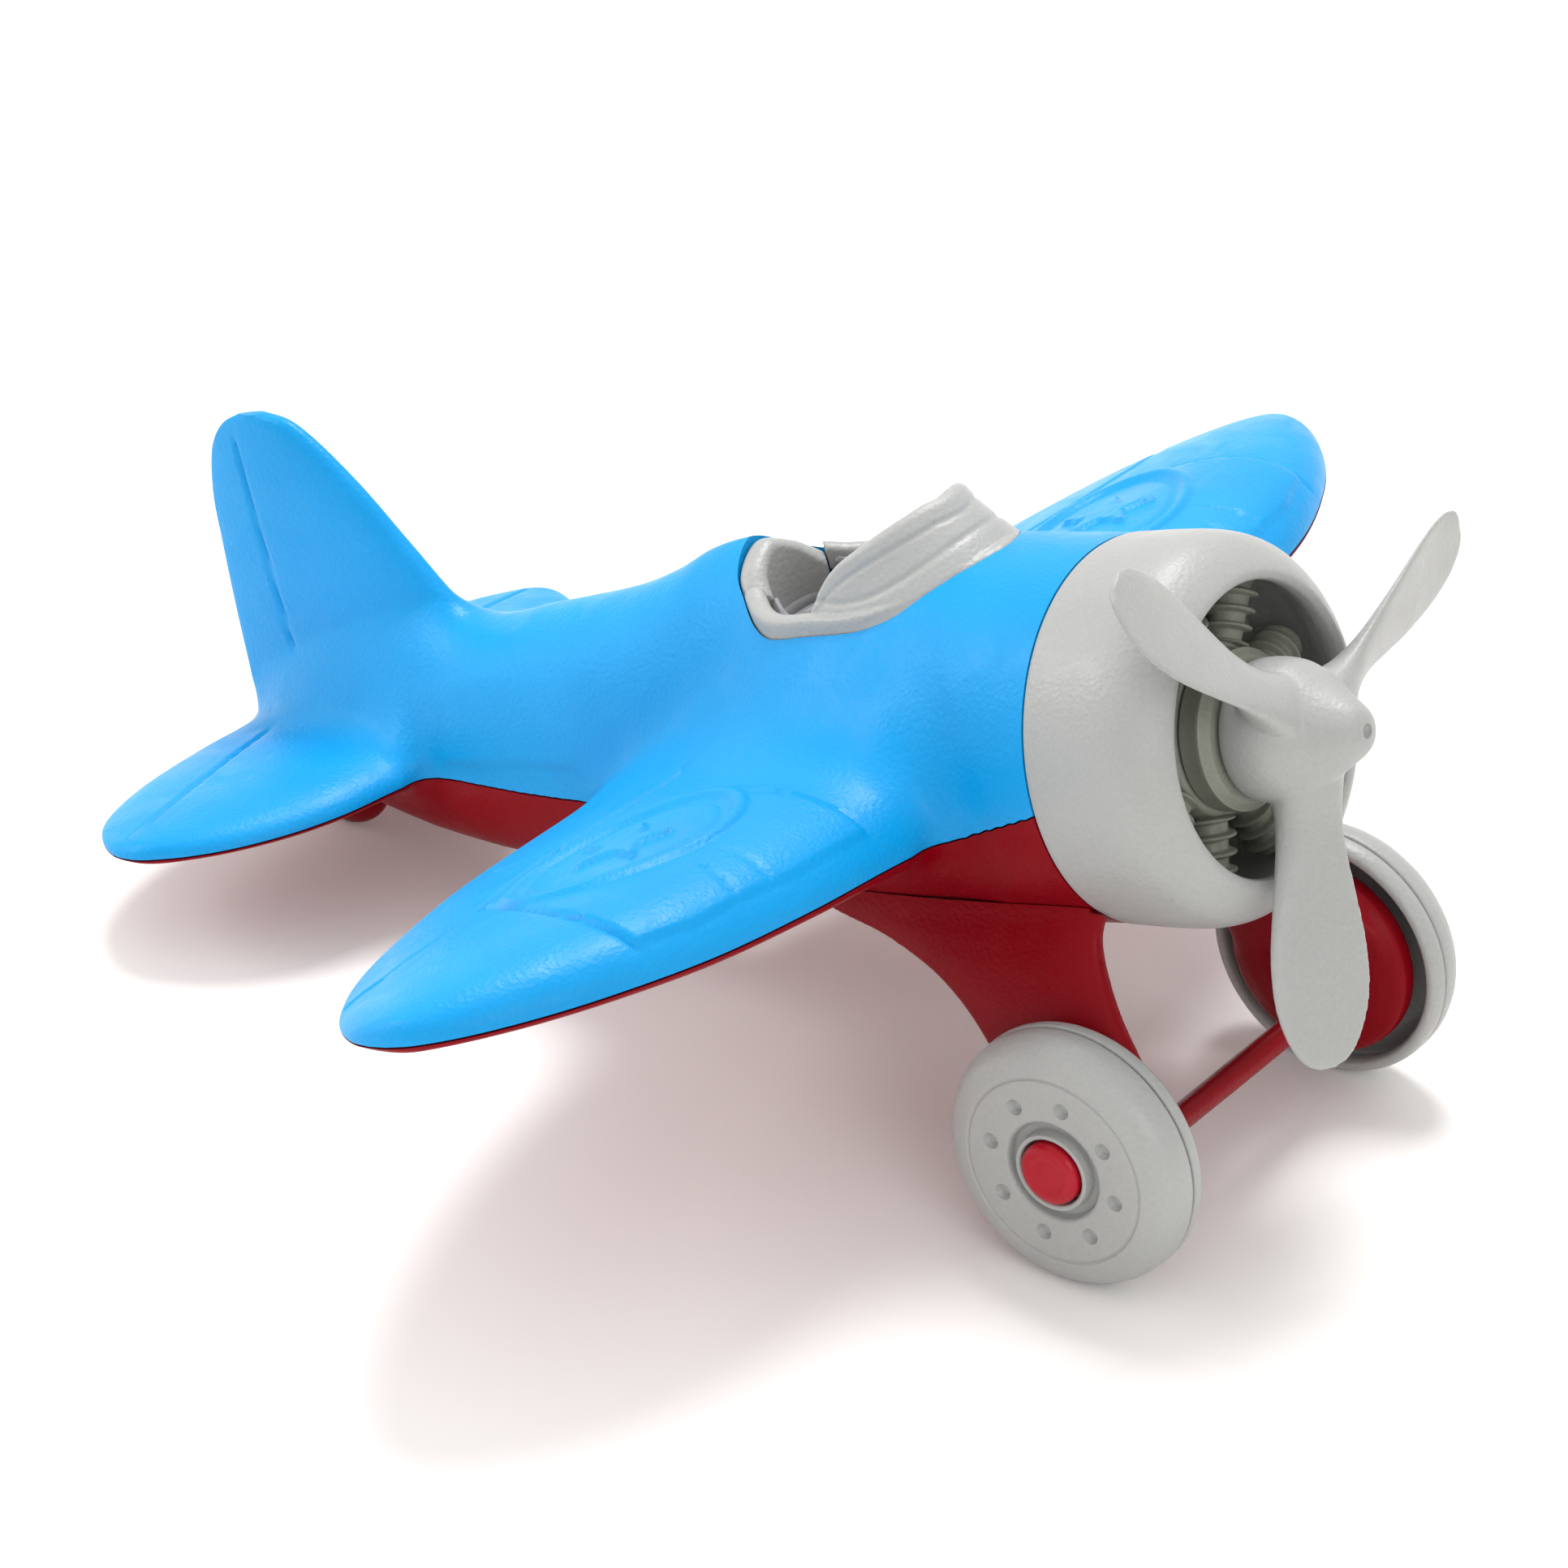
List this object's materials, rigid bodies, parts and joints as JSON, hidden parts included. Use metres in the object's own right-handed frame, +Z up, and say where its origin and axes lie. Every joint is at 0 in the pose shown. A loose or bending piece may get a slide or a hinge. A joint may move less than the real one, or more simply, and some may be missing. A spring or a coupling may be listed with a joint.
{
  "type": "toy airplane",
  "caption": "Chunky low-wing toy monoplane with a round cowling, a radial engine, a spinning propeller and rolling wheels.",
  "frame": {"origin": "on the ground under the middle of the bounding box, with the plane standing on its wheels and tail skid", "axes": "+X forward to the nose, +Y to the plane's left wing, +Z up"},
  "size_m": [0.2304, 0.2392, 0.1184],
  "materials": {
    "blue_plastic": "satin moulded plastic with a fine grain, sky blue",
    "red_plastic": "satin moulded plastic, dark crimson",
    "grey_plastic": "satin moulded plastic, light warm grey",
    "dark_grey_plastic": "matt moulded plastic, dark grey"
  },
  "bodies": {
    "airframe": {"upper_shell": "blue_plastic", "lower_shell": "red_plastic", "cowling": "grey_plastic", "engine_block": "dark_grey_plastic", "crankcase": "dark_grey_plastic", "cockpit_frame": "grey_plastic", "headrest": "grey_plastic", "seat_tub": "dark_grey_plastic", "spreader_bar": "red_plastic", "tail_skid": "red_plastic", "leg_left": "red_plastic", "axle_pin_left": "red_plastic", "leg_right": "red_plastic", "axle_pin_right": "red_plastic"},
    "propeller": {"propeller": "grey_plastic", "propeller_shaft": "grey_plastic", "shaft_clip": "grey_plastic"},
    "wheel_left": {"wheel_face_left": "grey_plastic", "wheel_rim_left": "grey_plastic"},
    "wheel_right": {"wheel_face_right": "grey_plastic", "wheel_rim_right": "grey_plastic"}
  },
  "joints": [
    {"name": "propeller_spin", "type": "hinge", "parent": "airframe", "child": "propeller", "pos_m": [0.09803, 0, 0.08231], "axis": [0.9478, 0, 0.3189], "continuous": true},
    {"name": "wheel_left_spin", "type": "hinge", "parent": "airframe", "child": "wheel_left", "pos_m": [0.08439, 0.0365, 0.02095], "axis": [0, 1, 0], "continuous": true},
    {"name": "wheel_right_spin", "type": "hinge", "parent": "airframe", "child": "wheel_right", "pos_m": [0.08439, -0.0365, 0.02095], "axis": [0, 1, 0], "continuous": true}
  ]
}
